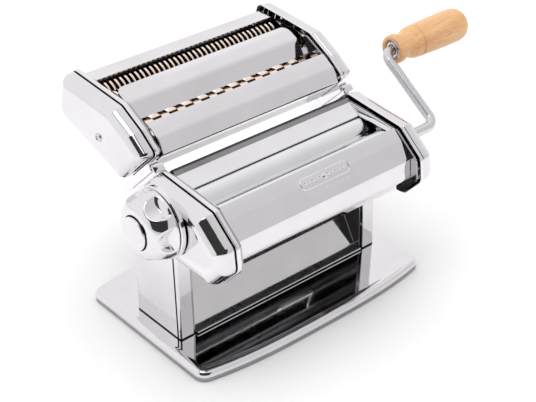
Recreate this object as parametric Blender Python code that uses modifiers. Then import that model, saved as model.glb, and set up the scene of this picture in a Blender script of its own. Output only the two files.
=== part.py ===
"""Manual pasta roller machine with a crank, a thickness knob and a removable duplex cutter.

Model axes: +X points to the crank, -X to the thickness knob, -Y is the front, +Z is up.
The machine is drawn about the centre of its base, and one empty then shifts it so that the
middle of its bounding box stands on the origin. All lengths are in metres.
"""
from math import atan2, cos, pi, radians, sin, tan

import bmesh
import bpy
from mathutils import Vector

MM = 0.001
GAP = 0.3 * MM

# Driving dimensions -----------------------------------------------------------------------
SHEET_WIDTH = 150 * MM
SHEET_METAL = 1.2 * MM
THIN_SHEET = 1 * MM

BASE_HALF_WIDTH = 103 * MM
BASE_CORNER_DEPTH = 62.5 * MM
BASE_BOW = 8.4 * MM
BASE_TOP = 8 * MM
BASE_SKIRT_BOTTOM = 1.2 * MM
BASE_EDGE_RADIUS = 3.4 * MM
BASE_CORNER_RADIUS = 9
CLAMP_SLOT_SIZE = (30 * MM, 5 * MM)
CLAMP_SLOT_Y = -40 * MM
FOOT_RADIUS = 7 * MM
FOOT_SPREAD = (88 * MM, 46 * MM)

FRAME_INNER_X = 77.5 * MM
FRAME_OUTER_X = 79 * MM
PANEL_HALF_WIDTH = FRAME_INNER_X - GAP
LEG_OUTER_X = 90.3 * MM
LEG_TOP = 73.2 * MM
LEG_CORNER_RADIUS = 3
LEG_LEAN = 2.2 * MM
LEG_BACK_Y = 25 * MM
COVER_INNER_X = 80 * MM
COVER_OUTER_X = 97 * MM
COVER_EDGE_RADIUS = 3 * MM
CUTTER_COVER_OUTER_X = 95 * MM

ROLLER_RADIUS = 13 * MM
ROLLER_HEIGHT = 106.2 * MM
FRONT_ROLLER_Y = -48 * MM
REAR_ROLLER_Y = -21.5 * MM
ROLLER_TRAVEL = 2 * MM
JOURNAL_RADIUS = 5 * MM
JOURNAL_CLEARANCE = 0.7 * MM
SCRAPER_DROP = 5.5 * MM
SCRAPER_SHIFT = 3 * MM

ARM_INNER_X = 79.6 * MM
ARM_OUTER_X = 81.8 * MM
REAR_SHAFT_END_X = 91 * MM
ROLLER_GEAR_X = (83 * MM, 90 * MM)

SOCKET_OUTER_RADIUS = 6.5 * MM
SOCKET_BORE_RADIUS = 4.3 * MM
CRANK_ROD_RADIUS = 3.8 * MM
CRANK_START_X = 82 * MM
CRANK_ARM_X = 125 * MM
CRANK_ARM_LENGTH = 64.5 * MM
CRANK_ARM_ANGLE = radians(34)
CRANK_BEND_RADIUS = 7.5 * MM
CRANK_PIN_END_X = 186 * MM
GRIP_START_X = 133 * MM
GRIP_LENGTH = 74 * MM
FERRULE_RADIUS = 7 * MM
FERRULE_LENGTH = 6 * MM

KNOB_BACK_X = -97.9 * MM
KNOB_FRONT_X = -121.2 * MM
KNOB_DIAL_RADIUS = 25 * MM
KNOB_GRIP_RADIUS = 24 * MM
KNOB_CAP_RADIUS = 11.5 * MM
KNOB_LOBES = 6
KNOB_SHAFT_RADIUS = 4 * MM

GEAR_TEETH = 16
CUTTER_GEAR_TEETH = 12
CUTTER_RING_RADIUS = 9.6 * MM
CUTTER_GROOVE_RADIUS = 6.9 * MM
CUTTER_SPACING = 17 * MM
CUTTER_SHAFT_RADIUS = 4 * MM
CUTTER_SHAFT_END_X = -91 * MM
CUTTER_GEAR_X = (-90 * MM, -84 * MM)
CUTTER_SCREW_PLACE = (50, 135)
FINE_FRONT = (58 * MM, 149.2 * MM)
WIDE_FRONT = (20.5 * MM, 134 * MM)
FINE_RINGS = 36
WIDE_RINGS = 11

# The back of the body and the underside of the cutter share one 45 degree direction.
BODY_SLOPE_SUM = 126.2 * MM
CUTTER_SLOPE_SUM = 138.8 * MM
RAIL_X = 83.6 * MM
RAIL_MIDDLE_Y = 15 * MM
RAIL_LENGTH = 41 * MM

MACHINE_FRONT_Y = -78.4 * MM
MACHINE_BACK_Y = 101 * MM
MACHINE_RIGHT_X = GRIP_START_X + GRIP_LENGTH

# Outlines are (y, z, corner radius) in millimetres.
BODY_COVER_OUTLINE = [
    (-2.5, 128.7, 4), (-56, 124, 5), (-67, 115, 6), (-77, 107, 7), (-79, 90, 9),
    (-64, 73.5, 6), (27, 75, 3), (33, 93.2, 5),
]
FRAME_OUTLINE = [
    (-3.5, 126.4, 3), (-55.3, 121.8, 4), (-65.8, 113.3, 5), (-75, 106, 6), (-77, 90.6, 7),
    (-63.4, 75.6, 4), (-22, 75.6, 2), (-24.4, 8.4, 1), (24, 8.4, 1), (24, 75.6, 2), (30.5, 92.5, 4),
]
FRONT_PANEL_PATH = [
    (-53, 123, 0), (-61, 116, 5), (-70, 105, 6), (-71, 91, 9), (-59, 76, 7), (-40, 75.5, 0),
]
REAR_PANEL_PATH = [(-22, 120.6, 0), (-9, 125, 3), (-5.2, 128.4, 2), (31.8, 93.2, 4), (27, 78, 0)]
EXIT_RAMP_PATH = [(-27, 9.6, 0), (-19.5, 9.6, 2), (10, 60, 4), (22, 66, 0)]
CUTTER_COVER_OUTLINE = [
    (94.2, 165.4, 6), (36.6, 161.2, 8), (16.8, 150.7, 8), (2.5, 140, 4), (2.9, 135.9, 3.6),
    (30.4, 108.4, 4), (97, 129.5, 5), (101, 137, 5), (98.8, 150, 6),
]
CUTTER_END_OUTLINE = [
    (90.4, 160.4, 4), (37.4, 159.2, 5), (17.8, 149.2, 6), (6.2, 140.3, 2), (5.2, 136.6, 1),
    (31.2, 110.6, 2), (95.6, 130.9, 3), (99.2, 137.2, 4), (95.5, 149.2, 5),
]
CUTTER_FRONT_PANEL_PATH = [(19.3, 152.4, 0), (7.4, 145.2, 9), (2.6, 135.6, 2), (24.5, 113.7, 0)]
CUTTER_MIDDLE_PANEL_PATH = [(57, 161.2, 0), (43.5, 155.4, 9), (36.9, 145.3, 0)]
CUTTER_REAR_PANEL_PATH = [
    (75.8, 161.2, 0), (91, 161.2, 5), (96.4, 149.8, 5), (100, 137, 4), (96.5, 130.6, 0),
]
RAIL_PROFILE = [(-1, 0.4), (1, 0.4), (1, 5), (2.6, 5), (2.6, 6.6), (-2.6, 6.6), (-2.6, 5), (-1, 5)]
SHOE_PROFILE = [
    (-4.2, 3), (-1.6, 3), (-1.6, 4.4), (-3.2, 4.4), (-3.2, 7.2), (3.2, 7.2), (3.2, 4.4), (1.6, 4.4),
    (1.6, 3), (4.2, 3), (4.2, 8.5), (-4.2, 8.5),
]
SCRAPER_PROFILE = [(-1, -4), (1, -4), (1, 3), (0, 4)]

# The wooden grip: radius and distance from its free end, in millimetres.
GRIP_PROFILE = [
    (0, 0), (4.5, 0.6), (8.8, 2.8), (11.6, 6.5), (12.7, 12), (12.8, 18), (12.4, 30), (11.7, 44),
    (11.3, 49.5), (10.2, 50.5), (11.1, 51.8), (11.2, 54.5), (10, 59), (8.9, 63), (9.3, 66),
    (10.6, 68.3), (10.9, 71), (10, 74),
]

WHEEL_SIDES = 28
SMALL_SIDES = 12
GRIP_SIDES = 20


# Scene and placement ----------------------------------------------------------------------
def clear_scene():
    for obj in list(bpy.data.objects):
        bpy.data.objects.remove(obj)


def collection(name):
    group = bpy.data.collections.new(name)
    bpy.context.scene.collection.children.link(group)
    return group


def material(name, colour, metallic, roughness):
    shader = bpy.data.materials.new(name)
    shader.use_nodes = True
    bsdf = shader.node_tree.nodes["Principled BSDF"]
    bsdf.inputs["Base Color"].default_value = (*colour, 1)
    bsdf.inputs["Metallic"].default_value = metallic
    bsdf.inputs["Roughness"].default_value = roughness
    shader.diffuse_color = (*colour, 1)
    return shader


def empty(name, location, parent=None):
    pivot = bpy.data.objects.new(name, None)
    PARTS.objects.link(pivot)
    pivot.location = location
    if parent:
        attach(pivot, parent)
    return pivot


def machine_position(pivot):
    """Where an empty stands in machine coordinates, below the empty that shifts everything."""
    position = Vector((0, 0, 0))
    while pivot and pivot != MACHINE:
        position += pivot.location
        pivot = pivot.parent
    return position


def attach(obj, pivot):
    obj.parent = pivot
    obj.location = Vector(obj.location) - machine_position(pivot)


def new_part(name, data, finish, pivot, location=(0, 0, 0), rotation=(0, 0, 0)):
    part = bpy.data.objects.new(name, data)
    PARTS.objects.link(part)
    part.data.materials.append(FINISHES[finish])
    part.location = location
    part.rotation_euler = rotation
    attach(part, pivot)
    return part


# Outlines ---------------------------------------------------------------------------------
def rounded(points, closed, steps=3):
    """The outline in metres, with each corner replaced by an arc of its own radius."""
    corners = [(Vector((p[0], p[1])) * MM, p[2] * MM) for p in points]
    count = len(corners)
    outline = []
    for index, (corner, radius) in enumerate(corners):
        at_end = not closed and index in (0, count - 1)
        if at_end or radius <= 0:
            outline.append(corner)
            continue
        before = (corners[index - 1][0] - corner).normalized()
        after = (corners[(index + 1) % count][0] - corner).normalized()
        half_angle = before.angle(after) / 2
        reach = radius / tan(half_angle)
        centre = corner + (before + after).normalized() * radius / sin(half_angle)
        start = corner + before * reach - centre
        turn = start.angle_signed(corner + after * reach - centre)
        for step in range(steps + 1):
            angle = -turn * step / steps
            spun = Vector((start.x * cos(angle) - start.y * sin(angle),
                           start.x * sin(angle) + start.y * cos(angle)))
            outline.append(centre + spun)
    return outline


def circle(centre, radius, sides):
    return [Vector((centre[0] + radius * cos(2 * pi * k / sides),
                    centre[1] + radius * sin(2 * pi * k / sides))) for k in range(sides)]


def stadium(centre, radius, travel, sides):
    """A round hole drawn out by a travel along its first axis."""
    hole = circle(centre, radius, sides)
    for point in hole:
        if point.x > centre[0] + 1e-9:
            point.x += travel
    return hole


def gear_outline(teeth, pitch_radius, addendum, dedendum, phase):
    """Tapered teeth, thin enough to mesh with plenty of backlash."""
    outline = []
    pitch = 2 * pi / teeth
    for tooth in range(teeth):
        middle = tooth * pitch + phase
        for share, radius in ((-0.27, -dedendum), (-0.11, addendum), (0.11, addendum), (0.27, -dedendum)):
            reach = pitch_radius + radius
            angle = middle + share * pitch
            outline.append(Vector((reach * cos(angle), reach * sin(angle))))
    return outline


# Shapes -----------------------------------------------------------------------------------
ALONG_X = (pi / 2, 0, pi / 2)
TURNED_ALONG_X = (0, pi / 2, 0)
DOWN_THE_SLOPE = (pi / 4, 0, 0)


def flat_curve(name, outlines, thickness):
    curve = bpy.data.curves.new(name, "CURVE")
    curve.dimensions = "2D"
    curve.fill_mode = "BOTH"
    curve.extrude = thickness / 2
    for outline in outlines:
        spline = curve.splines.new("POLY")
        spline.points.add(len(outline) - 1)
        for point, position in zip(spline.points, outline):
            point.co = (position.x, position.y, 0, 1)
        spline.use_cyclic_u = True
    return curve


def plate(name, outlines, x_from, x_to, finish, pivot, centre=(0, 0)):
    """A flat plate whose outline lies in the YZ plane, about its own centre."""
    curve = flat_curve(name, outlines, abs(x_to - x_from))
    location = ((x_from + x_to) / 2, centre[0], centre[1])
    return new_part(name, curve, finish, pivot, location, ALONG_X)


def bar(name, outline, length, finish, pivot, location, rotation):
    return new_part(name, flat_curve(name, [outline], length), finish, pivot, location, rotation)


def turned(name, profile, finish, pivot, location, sides=WHEEL_SIDES, loop=False):
    """A turned piece along X. The profile is (radius, distance along +X), highest X first."""
    mesh = bpy.data.meshes.new(name)
    points = [(radius, 0, along) for radius, along in profile]
    edges = [(k, k + 1) for k in range(len(points) - 1)]
    if loop:
        edges.append((len(points) - 1, 0))
    mesh.from_pydata(points, edges, [])
    part = new_part(name, mesh, finish, pivot, location, TURNED_ALONG_X)
    screw = part.modifiers.new("turn", "SCREW")
    screw.axis = "Z"
    screw.steps = sides
    screw.render_steps = sides
    screw.use_merge_vertices = True
    screw.merge_threshold = 0.00005
    screw.use_smooth_shade = False
    return part


def ring_profile(outer_radius, bore_radius, x_from, x_to, chamfer=0.0):
    """A sleeve with a through bore, as a closed loop that runs down its outer side."""
    profile = [(bore_radius, x_to), (outer_radius - chamfer, x_to)]
    if chamfer:
        profile += [(outer_radius, x_to - chamfer), (outer_radius, x_from + chamfer)]
    return profile + [(outer_radius - chamfer, x_from), (bore_radius, x_from)]


def sheet(name, path, half_width, finish, pivot, thickness=SHEET_METAL, inward=True):
    """Bent sheet metal: a path in the YZ plane carried across the machine, then thickened."""
    mesh = bpy.data.meshes.new(name)
    bm = bmesh.new()
    line = [bm.verts.new((-half_width, point.x, point.y)) for point in rounded(path, False)]
    edges = [bm.edges.new(pair) for pair in zip(line, line[1:])]
    swept = bmesh.ops.extrude_edge_only(bm, edges=edges)["geom"]
    moved = [item for item in swept if isinstance(item, bmesh.types.BMVert)]
    bmesh.ops.translate(bm, verts=moved, vec=(2 * half_width, 0, 0))
    bm.to_mesh(mesh)
    bm.free()
    part = new_part(name, mesh, finish, pivot)
    thicken(part, thickness, -1 if inward else 1)
    return part


def thicken(part, thickness, offset):
    solidify = part.modifiers.new("sheet", "SOLIDIFY")
    solidify.thickness = thickness
    solidify.offset = offset
    solidify.use_even_offset = True
    solidify.use_quality_normals = True


def pan(bm, outline, lift, radius, segments):
    """A closed block from an outline, its far edge rounded and its near face left out."""
    near = bm.faces.new([bm.verts.new(point) for point in outline])
    block = bmesh.ops.extrude_face_region(bm, geom=[near])["geom"]
    far = [item for item in block if isinstance(item, bmesh.types.BMVert)]
    bmesh.ops.translate(bm, verts=far, vec=lift)
    bm.normal_update()
    bmesh.ops.recalc_face_normals(bm, faces=bm.faces)
    rim = [edge for edge in bm.edges if all(vertex in far for vertex in edge.verts)]
    bmesh.ops.delete(bm, geom=[near], context="FACES_ONLY")
    bmesh.ops.bevel(bm, geom=rim, offset=radius, segments=segments, affect="EDGES", profile=0.5)


def side_cover(name, side, outline, outer_x, finish, pivot):
    """A pressed cover, open towards the machine."""
    mesh = bpy.data.meshes.new(name)
    bm = bmesh.new()
    ring = [(side * COVER_INNER_X, point.x, point.y) for point in rounded(outline, True)]
    pan(bm, ring, (side * (outer_x - COVER_INNER_X), 0, 0), COVER_EDGE_RADIUS, 2)
    bm.to_mesh(mesh)
    bm.free()
    cover = new_part(name, mesh, finish, pivot)
    thicken(cover, SHEET_METAL, -1)
    return cover


def drill(part, axis_point, radius, depth=12 * MM, sides=SMALL_SIDES):
    """Cuts a round hole along X through a part."""
    bpy.ops.mesh.primitive_cylinder_add(vertices=sides, radius=radius, depth=depth)
    cutter = bpy.context.object
    cutter.rotation_euler = TURNED_ALONG_X
    cutter.location = axis_point
    cut(part, cutter)


def cut(part, cutter):
    """Takes a cutter's shape out of a part, and puts the cutter away in its own collection."""
    cutter.name = part.name + "_cutter"
    for group in list(cutter.users_collection):
        group.objects.unlink(cutter)
    CUTTERS.objects.link(cutter)
    cutter.parent = MACHINE
    cutter.hide_render = True
    cutter.display_type = "WIRE"
    boolean = part.modifiers.new("cut", "BOOLEAN")
    boolean.operation = "DIFFERENCE"
    boolean.solver = "EXACT"
    boolean.object = cutter


# The base ---------------------------------------------------------------------------------
def base_outline():
    """A wide tray whose front and back edges bow outwards."""
    half_width = BASE_HALF_WIDTH / MM
    depth = BASE_CORNER_DEPTH / MM
    back = [(half_width, depth, BASE_CORNER_RADIUS)]
    for step in range(10):
        share = 0.9 - 0.2 * step
        back.append((share * half_width, depth + BASE_BOW / MM * (1 - abs(share) ** 3), 0))
    front = [(-x, -y, radius) for x, y, radius in back]
    left = [(-half_width, depth, BASE_CORNER_RADIUS)]
    right = [(half_width, -depth, BASE_CORNER_RADIUS)]
    return rounded(back + left + front + right, True)


def make_base():
    mesh = bpy.data.meshes.new("base")
    bm = bmesh.new()
    ring = [(point.x, point.y, BASE_SKIRT_BOTTOM) for point in base_outline()]
    pan(bm, ring, (0, 0, BASE_TOP - BASE_SKIRT_BOTTOM), BASE_EDGE_RADIUS, 2)
    bm.to_mesh(mesh)
    bm.free()
    base = new_part("base", mesh, "chrome", MACHINE)
    thicken(base, SHEET_METAL, -1)
    bpy.ops.mesh.primitive_cube_add(size=1, location=(0, CLAMP_SLOT_Y, BASE_TOP))
    slot = bpy.context.object
    slot.scale = (*CLAMP_SLOT_SIZE, BASE_TOP)
    cut(base, slot)


def make_feet():
    foot_height = BASE_TOP - SHEET_METAL - GAP
    for depth, row in ((-1, "front"), (1, "back")):
        for side, hand in ((-1, "left"), (1, "right")):
            mesh = bpy.data.meshes.new("foot_" + row + "_" + hand)
            bm = bmesh.new()
            bmesh.ops.create_cone(bm, cap_ends=True, segments=SMALL_SIDES, radius1=FOOT_RADIUS - 1 * MM,
                                  radius2=FOOT_RADIUS, depth=foot_height)
            bm.to_mesh(mesh)
            bm.free()
            place = (side * FOOT_SPREAD[0], depth * FOOT_SPREAD[1], foot_height / 2)
            new_part(mesh.name, mesh, "rubber", MACHINE, place)


# The body ---------------------------------------------------------------------------------
def make_side_frames():
    roller_hole = JOURNAL_RADIUS + JOURNAL_CLEARANCE
    holes = [
        circle((FRONT_ROLLER_Y, ROLLER_HEIGHT), roller_hole, SMALL_SIDES),
        stadium((REAR_ROLLER_Y, ROLLER_HEIGHT), roller_hole, ROLLER_TRAVEL, SMALL_SIDES),
    ]
    for side, hand in ((-1, "left"), (1, "right")):
        plate("side_frame_" + hand, [rounded(FRAME_OUTLINE, True, 3)] + holes,
              side * FRAME_INNER_X, side * FRAME_OUTER_X, "dark_steel", MACHINE)


def make_legs():
    """Channel-shaped leg covers: a front flange, an outer face and a back flange."""
    inner = (FRAME_OUTER_X + GAP) / MM
    outer = LEG_OUTER_X / MM
    back = LEG_BACK_Y / MM
    path = [(inner, back, 0), (outer, back, LEG_CORNER_RADIUS), (outer, -back, LEG_CORNER_RADIUS),
            (inner, -back, 0)]
    for side, hand in ((-1, "left"), (1, "right")):
        mesh = bpy.data.meshes.new("leg_" + hand)
        bm = bmesh.new()
        line = [bm.verts.new((side * point.x, point.y, BASE_TOP + GAP)) for point in rounded(path, False)]
        edges = [bm.edges.new(pair) for pair in zip(line, line[1:])]
        swept = bmesh.ops.extrude_edge_only(bm, edges=edges)["geom"]
        for item in swept:
            if isinstance(item, bmesh.types.BMVert):
                item.co.z = LEG_TOP
                if item.co.y < 0:
                    item.co.y += LEG_LEAN
        bm.to_mesh(mesh)
        bm.free()
        leg = new_part(mesh.name, mesh, "chrome", MACHINE)
        thicken(leg, SHEET_METAL, side)


def make_body_covers():
    for side, hand in ((-1, "left"), (1, "right")):
        cover = side_cover("side_cover_" + hand, side, BODY_COVER_OUTLINE, COVER_OUTER_X, "chrome", MACHINE)
        axis_y = FRONT_ROLLER_Y if side > 0 else REAR_ROLLER_Y
        drill(cover, (side * COVER_OUTER_X, axis_y, ROLLER_HEIGHT), SOCKET_BORE_RADIUS + 0.7 * MM)


def make_body_sheets():
    sheet("front_panel", FRONT_PANEL_PATH, PANEL_HALF_WIDTH, "chrome", MACHINE)
    sheet("rear_panel", REAR_PANEL_PATH, PANEL_HALF_WIDTH, "chrome", MACHINE, THIN_SHEET, inward=False)
    sheet("exit_ramp", EXIT_RAMP_PATH, PANEL_HALF_WIDTH, "dark_steel", MACHINE)


def make_tie_rods():
    length = 2 * PANEL_HALF_WIDTH
    for name, y, z in (("tie_rod_front", -58, 85), ("tie_rod_back", 15, 84)):
        turned(name, [(0, length / 2), (4 * MM, length / 2), (4 * MM, -length / 2), (0, -length / 2)],
               "dark_steel", MACHINE, (0, y * MM, z * MM), SMALL_SIDES)


def make_scrapers():
    """Strips under the smooth rollers that keep the dough from following them round."""
    strip = [Vector(point) * MM for point in SCRAPER_PROFILE]
    height = ROLLER_HEIGHT - ROLLER_RADIUS - SCRAPER_DROP
    for name, y in (("scraper_front", FRONT_ROLLER_Y - SCRAPER_SHIFT),
                    ("scraper_rear", REAR_ROLLER_Y + SCRAPER_SHIFT)):
        plate(name, [strip], -SHEET_WIDTH / 2, SHEET_WIDTH / 2, "black_plastic", MACHINE, (y, height))


def make_rails():
    """A T-shaped rail on each side of the body, and the shoe of the cutter that hooks over it."""
    for side, hand in ((-1, "left"), (1, "right")):
        seat = (side * RAIL_X, RAIL_MIDDLE_Y, BODY_SLOPE_SUM - RAIL_MIDDLE_Y)
        for name, profile, finish, pivot in (("rail_", RAIL_PROFILE, "polished_steel", MACHINE),
                                             ("cutter_shoe_", SHOE_PROFILE, "polished_steel", CUTTER_UNIT)):
            points = [Vector(point) * MM for point in profile]
            bar(name + hand, points, RAIL_LENGTH, finish, pivot, seat, DOWN_THE_SLOPE)


# The smooth rollers -----------------------------------------------------------------------
def make_smooth_rollers():
    half = SHEET_WIDTH / 2
    left_end = -(FRAME_OUTER_X + 4 * MM)
    for name, y, right_end, pivot in (
            ("front_roller", FRONT_ROLLER_Y, COVER_INNER_X - GAP, FRONT_DRIVE),
            ("rear_roller", REAR_ROLLER_Y, REAR_SHAFT_END_X, REAR_DRIVE)):
        profile = [
            (0, right_end), (JOURNAL_RADIUS, right_end), (JOURNAL_RADIUS, half), (ROLLER_RADIUS, half),
            (ROLLER_RADIUS, -half), (JOURNAL_RADIUS, -half), (JOURNAL_RADIUS, left_end), (0, left_end),
        ]
        turned(name, profile, "roller_steel", pivot, (0, y, ROLLER_HEIGHT))


def make_roller_gears():
    pitch_radius = (REAR_ROLLER_Y - FRONT_ROLLER_Y) / 2
    half_tooth = pi / GEAR_TEETH
    for name, y, bore, phase, pivot in (
            ("front_roller_gear", FRONT_ROLLER_Y, SOCKET_OUTER_RADIUS + GAP, 0, FRONT_DRIVE),
            ("rear_roller_gear", REAR_ROLLER_Y, JOURNAL_RADIUS + GAP, half_tooth, REAR_DRIVE)):
        teeth = gear_outline(GEAR_TEETH, pitch_radius, 0.9 * MM, 1.6 * MM, phase)
        plate(name, [teeth, circle((0, 0), bore, SMALL_SIDES)], *ROLLER_GEAR_X, "dark_steel", pivot,
              (y, ROLLER_HEIGHT))


def make_drive_socket(name, centre, x_to, pivot):
    profile = ring_profile(SOCKET_OUTER_RADIUS, SOCKET_BORE_RADIUS, COVER_INNER_X + GAP, x_to)
    turned(name, profile, "dark_steel", pivot, (0, *centre), SMALL_SIDES, loop=True)


def make_carriage():
    """The two arms that carry the rear roller and draw it away from the front one."""
    rim = circle((0, 0), 9 * MM, WHEEL_SIDES)
    foot = [Vector((-4, -22)) * MM, Vector((4, -22)) * MM]
    arm = [point for point in rim if point.y > -3 * MM] + foot
    middle = Vector((0, -6 * MM))
    arm.sort(key=lambda point: atan2(point.y - middle.y, point.x - middle.x))
    bore = circle((0, 0), JOURNAL_RADIUS + JOURNAL_CLEARANCE / 2, SMALL_SIDES)
    for side, hand in ((-1, "left"), (1, "right")):
        plate("carriage_arm_" + hand, [arm, bore], side * ARM_INNER_X, side * ARM_OUTER_X, "dark_steel",
              CARRIAGE, (REAR_ROLLER_Y, ROLLER_HEIGHT))


# The thickness knob -----------------------------------------------------------------------
def make_regulator():
    axis = (0, REAR_ROLLER_Y, ROLLER_HEIGHT)
    disc_front = -91 * MM
    disc_back = -95 * MM
    shaft_end = KNOB_FRONT_X + 8 * MM
    turned("regulator_shaft", [
        (0, disc_front), (9 * MM, disc_front), (9 * MM, disc_back), (KNOB_SHAFT_RADIUS, disc_back),
        (KNOB_SHAFT_RADIUS, shaft_end), (0, shaft_end)], "dark_steel", REGULATOR, axis, 24)


def make_knob():
    """A dial ring, a lobed hand grip and a flat cap, which pull out together."""
    axis = (0, REAR_ROLLER_Y, ROLLER_HEIGHT)
    bore = KNOB_SHAFT_RADIUS + 0.4 * MM
    dial_front = KNOB_BACK_X - 3.6 * MM
    turned("knob_dial", ring_profile(KNOB_DIAL_RADIUS, bore, dial_front, KNOB_BACK_X, 0.8 * MM),
           "chrome", KNOB, axis, WHEEL_SIDES, loop=True)
    grip_back = dial_front - GAP
    cap_back = KNOB_FRONT_X + 1.6 * MM
    grip_front = cap_back + GAP
    depth = grip_back - grip_front
    dome = [(bore, grip_back), (KNOB_GRIP_RADIUS, grip_back)]
    for step in range(1, 7):
        angle = radians(15 * step)
        reach = KNOB_CAP_RADIUS + 1 * MM + (KNOB_GRIP_RADIUS - KNOB_CAP_RADIUS - 1 * MM) * cos(angle)
        dome.append((reach, grip_back - 3 * MM - (depth - 3 * MM) * sin(angle)))
    dome += [(0, grip_front), (0, grip_front + 4 * MM), (bore, grip_front + 4 * MM), (bore, grip_back)]
    grip = turned("knob_grip", dome, "chrome", KNOB, axis, 36)
    scallop_radius = 10 * MM
    for lobe in range(KNOB_LOBES):
        angle = 2 * pi * (lobe + 0.5) / KNOB_LOBES
        reach = KNOB_GRIP_RADIUS + 6.8 * MM
        bpy.ops.mesh.primitive_cylinder_add(vertices=20, radius=scallop_radius, depth=60 * MM)
        scallop = bpy.context.object
        scallop.rotation_euler = TURNED_ALONG_X
        scallop.location = ((grip_back + grip_front) / 2, axis[1] + reach * cos(angle),
                            axis[2] + reach * sin(angle))
        cut(grip, scallop)
    cap = [(0, cap_back), (KNOB_CAP_RADIUS, cap_back), (KNOB_CAP_RADIUS, KNOB_FRONT_X + 0.5 * MM),
           (KNOB_CAP_RADIUS - 0.5 * MM, KNOB_FRONT_X), (0, KNOB_FRONT_X)]
    turned("knob_cap", cap, "chrome", KNOB, axis, WHEEL_SIDES)


# The crank --------------------------------------------------------------------------------
def grip_axis():
    reach = CRANK_ARM_LENGTH
    return (FRONT_ROLLER_Y + reach * cos(CRANK_ARM_ANGLE), ROLLER_HEIGHT + reach * sin(CRANK_ARM_ANGLE))


def make_crank():
    """One bent rod: a shaft into the drive socket, an arm, and the pin that carries the grip."""
    route = [(CRANK_START_X / MM, 0, 0), (CRANK_ARM_X / MM, 0, CRANK_BEND_RADIUS / MM),
             (CRANK_ARM_X / MM, CRANK_ARM_LENGTH / MM, CRANK_BEND_RADIUS / MM),
             (CRANK_PIN_END_X / MM, CRANK_ARM_LENGTH / MM, 0)]
    curve = bpy.data.curves.new("crank_rod", "CURVE")
    curve.dimensions = "3D"
    curve.bevel_depth = CRANK_ROD_RADIUS
    curve.bevel_resolution = 2
    curve.use_fill_caps = True
    spline = curve.splines.new("POLY")
    points = rounded(route, False, 5)
    spline.points.add(len(points) - 1)
    for point, position in zip(spline.points, points):
        point.co = (position.x, position.y * cos(CRANK_ARM_ANGLE), position.y * sin(CRANK_ARM_ANGLE), 1)
    new_part("crank_rod", curve, "polished_steel", CRANK, (0, FRONT_ROLLER_Y, ROLLER_HEIGHT))


def make_grip():
    axis = (0, *grip_axis())
    bore = CRANK_ROD_RADIUS + 0.5 * MM
    start = GRIP_START_X
    end = MACHINE_RIGHT_X
    ferrule_end = start + FERRULE_LENGTH
    turned("grip_ferrule", ring_profile(FERRULE_RADIUS, bore, start, ferrule_end), "polished_steel",
           GRIP, axis, GRIP_SIDES, loop=True)
    recess = FERRULE_RADIUS + GAP
    bore_end = CRANK_PIN_END_X + 1 * MM
    profile = [(radius * MM, end - along * MM) for radius, along in GRIP_PROFILE]
    profile += [(recess, start), (recess, ferrule_end + GAP), (bore, ferrule_end + GAP),
                (bore, bore_end), (0, bore_end)]
    turned("grip", profile, "beech", GRIP, axis, GRIP_SIDES)


# The duplex cutter ------------------------------------------------------------------------
def cutter_axes():
    """Name, axis, gear phase and parent of each of the four cutting rollers."""
    half_tooth = pi / CUTTER_GEAR_TEETH
    axes = []
    for kind, (y, z) in (("fine", FINE_FRONT), ("wide", WIDE_FRONT)):
        axes.append((kind, "front", (y, z), 0))
        axes.append((kind, "rear", (y + CUTTER_SPACING, z), half_tooth))
    return axes


def ring_stack(rings, shift, right_end, left_end):
    """A shaft with evenly spaced cutting rings, whose partner's rings fall in its grooves."""
    pitch = SHEET_WIDTH / rings
    half_ring = pitch / 4 - 0.2 * MM
    profile = [(0, right_end), (CUTTER_SHAFT_RADIUS, right_end), (CUTTER_SHAFT_RADIUS, SHEET_WIDTH / 2),
               (CUTTER_GROOVE_RADIUS, SHEET_WIDTH / 2)]
    for ring in reversed(range(rings)):
        middle = -SHEET_WIDTH / 2 + (ring + 0.5) * pitch + shift * pitch / 4
        profile += [
            (CUTTER_GROOVE_RADIUS, middle + half_ring), (CUTTER_RING_RADIUS, middle + half_ring),
            (CUTTER_RING_RADIUS, middle - half_ring), (CUTTER_GROOVE_RADIUS, middle - half_ring),
        ]
    profile += [(CUTTER_GROOVE_RADIUS, -SHEET_WIDTH / 2), (CUTTER_SHAFT_RADIUS, -SHEET_WIDTH / 2),
                (CUTTER_SHAFT_RADIUS, left_end), (0, left_end)]
    return profile


def make_cutting_rollers():
    rings = {"fine": FINE_RINGS, "wide": WIDE_RINGS}
    sides = {"fine": 7, "wide": 9}
    for kind, place, (y, z), phase in cutter_axes():
        name = kind + "_cutter_" + place
        pivot = CUTTER_DRIVES[name]
        shift = -1 if place == "front" else 1
        stack = ring_stack(rings[kind], shift, COVER_INNER_X, CUTTER_SHAFT_END_X)
        turned(name, stack, "brass_steel", pivot, (0, y, z), sides[kind])
        teeth = gear_outline(CUTTER_GEAR_TEETH, CUTTER_SPACING / 2, 0.7 * MM, 1.3 * MM, phase)
        plate(name + "_gear", [teeth, circle((0, 0), CUTTER_SHAFT_RADIUS + GAP, SMALL_SIDES)],
              *CUTTER_GEAR_X, "dark_steel", pivot, (y, z))
        if place == "rear":
            make_drive_socket(kind + "_drive_socket", (y, z), CUTTER_COVER_OUTER_X - SHEET_METAL - GAP, pivot)


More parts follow.
